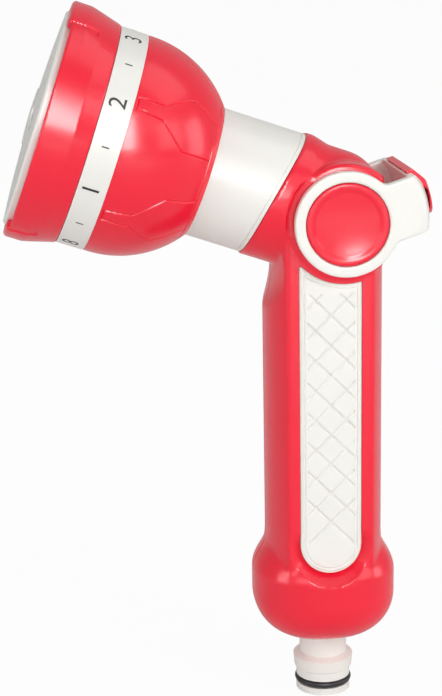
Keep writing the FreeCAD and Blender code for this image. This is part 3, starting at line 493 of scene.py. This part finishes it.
def panelDepth(x, z):
    # how far the panel's face lies below its highest level
    if z < panelSeat["foot"]:
        inside = panelSeat["halfWidth"] - math.hypot(x, z - panelSeat["foot"])
    else:
        fromHub = math.hypot(x - pivot.x, z - pivot.z) - panelSeat["hubReach"]
        inside = min(panelSeat["halfWidth"] - abs(x), fromHub)
    depth = panelLook["edgeDrop"] * max(0, 1 - inside / panelLook["edgeWidth"])
    depth += panelLook["frameDepth"] * groove(inside - panelLook["frame"], panelLook["frameHalf"])
    if abs(x) < panelLook["fieldHalf"] and panelLook["fieldLow"] < z < panelLook["fieldTop"]:
        # the lowest pair of lines is left out
        pitch = panelLook["pitch"]
        for lean in (x, -x):
            above = z - panelLook["phase"] + lean
            if above < pitch / 2:
                continue
            offset = above % pitch
            away = min(offset, pitch - offset) * math.sqrt(0.5)
            depth += panelLook["lineDepth"] * groove(away, panelLook["lineHalf"])
    return depth


def makePanels():
    panel = slab(panelOutline(0), panelSeat["floor"], panelSeat["face"])
    left = blank(panel, "leftPanel", upright)
    reskinned(left, panelLook["voxel"], panelLook["passes"])
    for vertex in left.data.vertices:
        if vertex.co.y < -panelSeat["face"] + panelLook["skin"]:
            vertex.co.y += panelDepth(vertex.co.x, vertex.co.z)
    right = mirrored(left, "rightPanel")
    dress(settle(left, 60), "body", "white_soft", "softWhite", "left_grip_panel")
    dress(settle(right, 60), "body", "white_soft", "softWhite", "right_grip_panel")
    print("grip panels:", len(left.data.polygons), "faces each")


makePanels()


# the head: a dome with fine panel lines, its label band's numbers, and the rim
dome = {"radius": 29, "centre": 60.5, "opening": 17.7, "wall": 2.2, "bandStart": 61.8,
        "sleeve": 27.0, "sleeveBore": 24.8, "sleeveEnd": 79.2, "sleeveRoot": 1, "steps": 384,
        "lineHalf": 0.28, "lineDepth": 0.32, "lineReach": 0.75, "lineCuts": 3, "ringLine": 38.9,
        "edgeSlack": 0.1}
# one side of a pair of panel lines: distance along the head, degrees aside from the pair's centre
domeLine = ((61, 3), (53.8, 4), (47, 16), (39, 14))
domePairs = {"count": 6, "first": 28, "lineSteps": 80, "endSteps": 40, "ringSteps": 1200}


def domePoint(along, degrees):
    turn = math.radians(degrees)
    radius = math.sqrt(dome["radius"] ** 2 - (along - dome["centre"]) ** 2)
    return Vector((radius * math.sin(turn), -radius * math.cos(turn), along))


def domeLinePoints():
    points = []
    steps, endSteps = domePairs["lineSteps"], domePairs["endSteps"]
    start, half = domeLine[0]
    for pair in range(domePairs["count"]):
        middle = domePairs["first"] + pair * 360 / domePairs["count"]
        for side in (-1, 1):
            corners = [(along, middle + side * aside) for along, aside in domeLine]
            for (a, b), (c, d) in zip(corners, corners[1:]):
                points += [domePoint(a + (c - a) * step / steps, b + (d - b) * step / steps)
                           for step in range(steps + 1)]
        points += [domePoint(start, middle - half + 2 * half * step / endSteps)
                   for step in range(endSteps + 1)]
    points += [domePoint(dome["ringLine"], step * 360 / domePairs["ringSteps"])
               for step in range(domePairs["ringSteps"])]
    return points


def makeDome():
    radius, inner, centre = dome["radius"], dome["radius"] - dome["wall"], dome["centre"]
    start = math.degrees(math.acos(dome["opening"] / radius))
    innerStart = math.degrees(math.acos(dome["opening"] / inner))
    seat = math.degrees(math.asin((dome["bandStart"] - centre) / radius))
    outline = arcPoints((0, centre), radius, -start, seat, 76)
    outline += [(dome["sleeve"], dome["bandStart"]), (dome["sleeve"], dome["sleeveEnd"]),
                (dome["sleeveBore"], dome["sleeveEnd"]),
                (dome["sleeveBore"], centre + dome["sleeveRoot"])]
    outline += arcPoints((0, centre), inner, 0, -innerStart, 24)
    bm = spun(outline, dome["steps"])
    lines = domeLinePoints()
    finder = kdtree.KDTree(len(lines))
    for index, point in enumerate(lines):
        finder.insert(point, index)
    finder.balance()
    outside = (radius + inner) / 2
    middle = Vector((0, 0, centre))
    near = [edge for edge in bm.edges
            if all((end.co - middle).length > outside
                   and finder.find(end.co)[2] < dome["lineReach"] for end in edge.verts)
            and edge.verts[0].co.z < dome["bandStart"]]
    bmesh.ops.subdivide_edges(bm, edges=near, cuts=dome["lineCuts"], use_grid_fill=True)
    for vertex in bm.verts:
        spoke = vertex.co - middle
        if spoke.length > outside and vertex.co.z < dome["bandStart"] + dome["edgeSlack"]:
            away = finder.find(vertex.co)[2]
            depth = dome["lineDepth"] * groove(away, dome["lineHalf"])
            vertex.co = middle + spoke.normalized() * (radius - depth)
    bmesh.ops.recalc_face_normals(bm, faces=bm.faces)
    piece = blank(bm, "sprayDome", headPlace)
    dress(settle(piece, 50), "dial", "red_plastic", "glossRed", "head_dome")
    print("dome:", len(piece.data.polygons), "faces")


makeDome()


# the height is a figure's own, and the glyph is its share of the lettering's size
numbers = {"count": 8, "first": -20, "height": 4.4, "glyph": 0.7, "along": 65.55, "radius": 29.04,
           "raise": 0.07, "tick": (0.35, 1.9), "slice": 0.5, "slices": 8}


def wrapped(bm, degrees):
    # lays a flat mark, drawn in millimetres, round the label band
    for vertex in bm.verts:
        turn = math.radians(degrees) + vertex.co.x / numbers["radius"]
        radius = numbers["radius"] + vertex.co.z
        along = numbers["along"] + vertex.co.y
        vertex.co = (radius * math.sin(turn), -radius * math.cos(turn), along)


def numberMesh(text):
    curve = bpy.data.curves.new("number", "FONT")
    curve.body = text
    curve.size = numbers["height"] / numbers["glyph"]
    curve.extrude = numbers["raise"] / 2
    curve.align_x = "CENTER"
    curve.align_y = "CENTER"
    writing = linked("number", curve)
    graph = bpy.context.evaluated_depsgraph_get()
    mesh = bpy.data.meshes.new_from_object(writing.evaluated_get(graph))
    bpy.data.objects.remove(writing)
    return mesh


def bandMark(text, degrees):
    # a figure, or a tick where there is no text, sliced so that it can bend
    bm = bmesh.new()
    if text:
        mesh = numberMesh(text)
        bm.from_mesh(mesh)
        bpy.data.meshes.remove(mesh)
    else:
        size = Matrix.Diagonal((*numbers["tick"], numbers["raise"], 1))
        bmesh.ops.create_cube(bm, size=1, matrix=size)
    for cut in range(-numbers["slices"], numbers["slices"] + 1):
        bmesh.ops.bisect_plane(bm, geom=everything(bm), plane_co=(cut * numbers["slice"], 0, 0),
                               plane_no=(1, 0, 0))
    bmesh.ops.remove_doubles(bm, verts=bm.verts, dist=weldDistance)
    bmesh.ops.recalc_face_normals(bm, faces=bm.faces)
    wrapped(bm, degrees)
    mark = bpy.data.meshes.new("mark")
    bm.to_mesh(mark)
    bm.free()
    return mark


def makeNumbers():
    whole = bmesh.new()
    step = 360 / numbers["count"]
    for index in range(numbers["count"]):
        for text, offset in ((str(index + 1), 0), (None, step / 2)):
            mark = bandMark(text, numbers["first"] + index * step + offset)
            whole.from_mesh(mark)
            bpy.data.meshes.remove(mark)
    piece = blank(whole, "dialNumbers", headPlace)
    dress(settle(piece), "dial", "black_rubber", "inkBlack")
    print("numbers:", len(piece.data.polygons), "faces")


makeNumbers()


# moulded pieces whose CAD edges are sharp get small rounded ones: grid size, smoothing passes
softPieces = {"rim_ring": ("dial", "red_plastic", "glossRed", 0.3, 3),
              "lever_yoke": ("lever", "white_plastic", "satinWhite", 0.28, 3),
              "thumb_pad": ("lever", "red_plastic", "glossRed", 0.14, 3)}


# the rim's two long recesses: shallower towards each end, where a fine hooked line closes them
rimRecess = {"radius": 30.79, "start": 73, "end": 81.7, "fall": 0.35, "inside": 29.5,
             "halfAngle": 60.5, "rise": 0.8, "riseReach": 14, "edgeBlend": 0.8,
             "lineDepth": 0.45, "lineHalf": 0.5, "lineInset": 0.45, "hook": 75, "hookLength": 1.4}
# the rim's own outline along the recess, as lines: radius, place along the head, slope
rimOutline = ((31.5, 82.6, 0), (30.9, 75.2, 0.25), (30.9, 75.2, 0.275))


def recessLine(fromEnd, along):
    # how far a spot lies from the hooked line at the recess's end
    past = fromEnd - rimRecess["lineInset"]
    behind = along - rimRecess["hook"]
    fromHook = math.hypot(max(0, past - rimRecess["hookLength"], -past), behind)
    return min(abs(past), fromHook) if behind > 0 else fromHook


def recessRadius(radius, fromEnd, along):
    back = (rimRecess["end"] - along) / (rimRecess["end"] - rimRecess["start"])
    level = min(radius, rimRecess["radius"] - rimRecess["fall"] * back)
    whole = min(size + slope * (along - height) for size, height, slope in rimOutline)
    inward = max(0, 1 - fromEnd / rimRecess["riseReach"])
    share = min(1, max(0, (radius - rimRecess["radius"]) / rimRecess["edgeBlend"] + 1))
    rise = rimRecess["rise"] * inward * inward * (3 - 2 * inward) * share
    cut = rimRecess["lineDepth"] * groove(recessLine(fromEnd, along), rimRecess["lineHalf"])
    return level + rise * max(0, whole - level) - cut


def carveRim(mesh):
    mesh.transform(headPlace.inverted())
    for vertex in mesh.vertices:
        x, y, along = vertex.co
        radius = math.hypot(x, y)
        aside = math.degrees(math.atan2(abs(x), abs(y)))
        if (radius > rimRecess["inside"] and aside < rimRecess["halfAngle"]
                and rimRecess["start"] < along < rimRecess["end"]):
            fromEnd = math.radians(rimRecess["halfAngle"] - aside) * radius
            share = recessRadius(radius, fromEnd, along) / radius
            vertex.co.x, vertex.co.y = x * share, y * share
    mesh.transform(headPlace)


def makeSoftPieces():
    for node, (body, slot, look, voxel, passes) in softPieces.items():
        bm = bmesh.new()
        bm.from_mesh(frame["nodes"][node].data)
        bm.transform(Matrix.Scale(1000, 4))
        bmesh.ops.remove_doubles(bm, verts=bm.verts, dist=weldDistance)
        piece = reskinned(blank(bm, node + "Soft"), voxel, passes)
        if node == "rim_ring":
            carveRim(piece.data)
        dress(settle(piece, 60), body, slot, look, node)
        print(node, "softened:", len(piece.data.polygons), "faces")


makeSoftPieces()


# the hub caps: a rounded rim round a shallow dish
cap = {"radius": 10.78, "floor": 17.7, "face": 19.15, "foot": 0.2, "edge": 0.7, "dish": 9.75,
       "step": 0.45, "stepWidth": 1.9, "stepCount": 8, "depth": 1.05, "dishCount": 24}


def makeCaps():
    foot, edge, dish, face = cap["foot"], cap["edge"], cap["dish"], cap["face"]
    inner = dish - cap["stepWidth"]
    outline = [(0, cap["floor"])]
    outline += arcPoints((cap["radius"] - foot, cap["floor"] + foot), foot, -90, 0, 4)
    outline += arcPoints((cap["radius"] - edge, face - edge), edge, 0, 90, 8)
    for step in range(cap["stepCount"] + 1):
        share = step / cap["stepCount"]
        drop = cap["step"] * (1 - math.cos(math.pi * share)) / 2
        outline.append((dish - cap["stepWidth"] * share, face - drop))
    for step in range(1, cap["dishCount"] + 1):
        radius = inner * (1 - step / cap["dishCount"])
        fall = (cap["depth"] - cap["step"]) * (1 - (radius / inner) ** 2)
        outline.append((radius, face - cap["step"] - fall))
    turned = hubPlace @ Matrix.Rotation(math.pi, 4, "X")
    for name, place in (("left", hubPlace), ("right", turned)):
        piece = blank(spun(outline, closed=False), name + "HubCap", place)
        dress(settle(piece, 60), "lever", "red_plastic", "glossRed", name + "_hub_cap")
    print("hub caps made")


makeCaps()


# the camera stands where the view was taken: to the left of the object, a little above it
view = {"place": (-67.75, -434.75, 209.06), "target": (-27.46, 0, 100.12), "roll": -1.05,
        "lens": 86.27, "film": 36, "near": 0.01, "far": 50}


def makeCamera():
    data = bpy.data.cameras.new("viewCamera")
    data.sensor_fit = "VERTICAL"
    data.sensor_height = view["film"]
    data.lens = view["lens"]
    data.clip_start = view["near"]
    data.clip_end = view["far"]
    camera = linked("viewCamera", data)
    place = Vector(view["place"])
    back = (place - Vector(view["target"])).normalized()
    right = Vector((0, 0, 1)).cross(back).normalized()
    turn = Matrix((right, back.cross(right), back)).transposed().to_4x4()
    turn = turn @ Matrix.Rotation(math.radians(view["roll"]), 4, "Z")
    camera.matrix_world = Matrix.Translation(place * 0.001) @ turn
    bpy.context.scene.camera = camera


studio = {"floorSize": 14, "floorColour": (0.7, 0.7, 0.7), "floorRoughness": 0.9,
          "whiteShare": 0.96, "skyLight": 0.43, "aim": (-0.028, 0, 0.11),
          # lamps light the object without showing in its gloss
          "lamps": {"key": {"place": (0.55, -0.75, 0.68), "size": (0.4, 0.4), "power": 3.1},
                    "fill": {"place": (0.1, -0.95, 0.3), "size": (0.5, 0.5), "power": 1.0},
                    "right": {"place": (0.92, -0.42, 0.5), "size": (0.45, 0.6), "power": 1.1},
                    "left": {"place": (-0.95, -0.45, 0.4), "size": (0.45, 0.6), "power": 2.4},
                    "low": {"place": (0.12, -0.7, 0.05), "size": (0.6, 0.08), "power": 0.8},
                    "back": {"place": (0.1, 0.85, 0.7), "size": (0.9, 0.6), "power": 3}},
          # cards show only as soft reflections
          "cards": {"tall": {"place": (0.06, -0.9, 0.46), "size": (0.22, 0.6), "power": 7},
                    "wide": {"place": (0.69, -0.6, 0.34), "size": (0.45, 0.4), "power": 1.1},
                    "wideLeft": {"place": (-0.45, -0.85, 0.3), "size": (0.35, 0.35), "power": 1.0},
                    "above": {"place": (0.5, -0.1, 0.9), "size": (0.6, 0.6), "power": 1.4},
                    "rightSide": {"place": (0.94, -0.14, 0.22), "size": (0.35, 0.5), "power": 1.6},
                    "leftSide": {"place": (-0.93, -0.4, 0.2), "size": (0.4, 0.5), "power": 2.2}}}


def whiteForView(tree, shader, share):
    # the camera sees nearly plain white where the light sees the real surface
    nodes, links = tree.nodes, tree.links
    path = nodes.new("ShaderNodeLightPath")
    amount = nodes.new("ShaderNodeMath")
    amount.operation = "MULTIPLY"
    amount.inputs[1].default_value = share
    links.new(path.outputs["Is Camera Ray"], amount.inputs[0])
    mix = nodes.new("ShaderNodeMixShader")
    links.new(amount.outputs[0], mix.inputs[0])
    links.new(shader, mix.inputs[1])
    return mix


def makeLamp(name, lamp):
    data = bpy.data.lights.new(name, "AREA")
    data.shape = "RECTANGLE"
    data.size, data.size_y = lamp["size"]
    data.energy = lamp["power"]
    light = linked(name, data)
    light.location = lamp["place"]
    towards = Vector(studio["aim"]) - light.location
    light.rotation_euler = towards.to_track_quat("-Z", "Y").to_euler()
    light.visible_camera = False
    return light


def makeWorld():
    world = bpy.data.worlds.new("studioWorld")
    bpy.context.scene.world = world
    world.use_nodes = True
    nodes, links = world.node_tree.nodes, world.node_tree.links
    sky = nodes["Background"]
    sky.inputs["Color"].default_value = (1, 1, 1, 1)
    sky.inputs["Strength"].default_value = studio["skyLight"]
    white = nodes.new("ShaderNodeBackground")
    white.inputs["Color"].default_value = (1, 1, 1, 1)
    white.inputs["Strength"].default_value = studio["whiteShare"]
    mix = whiteForView(world.node_tree, sky.outputs[0], 1)
    links.new(white.outputs[0], mix.inputs[2])
    links.new(mix.outputs[0], nodes["World Output"].inputs["Surface"])


def makeFloor():
    bm = bmesh.new()
    bmesh.ops.create_grid(bm, x_segments=1, y_segments=1, size=studio["floorSize"] / 2)
    floor = blank(bm, "floor")
    paper = bpy.data.materials.new("palePaper")
    paper.use_nodes = True
    nodes, links = paper.node_tree.nodes, paper.node_tree.links
    surface = nodes["Principled BSDF"]
    surface.inputs["Base Color"].default_value = (*studio["floorColour"], 1)
    surface.inputs["Roughness"].default_value = studio["floorRoughness"]
    glow = nodes.new("ShaderNodeEmission")
    mix = whiteForView(paper.node_tree, surface.outputs[0], studio["whiteShare"])
    links.new(glow.outputs[0], mix.inputs[2])
    links.new(mix.outputs[0], nodes["Material Output"].inputs["Surface"])
    floor.data.materials.append(paper)


makeCamera()
makeWorld()
makeFloor()
for lampName, lamp in studio["lamps"].items():
    makeLamp(lampName, lamp).visible_glossy = False
for cardName, card in studio["cards"].items():
    makeLamp(cardName + "Card", card).visible_diffuse = False
bpy.context.scene.view_settings.view_transform = "Standard"
print("camera and studio made")
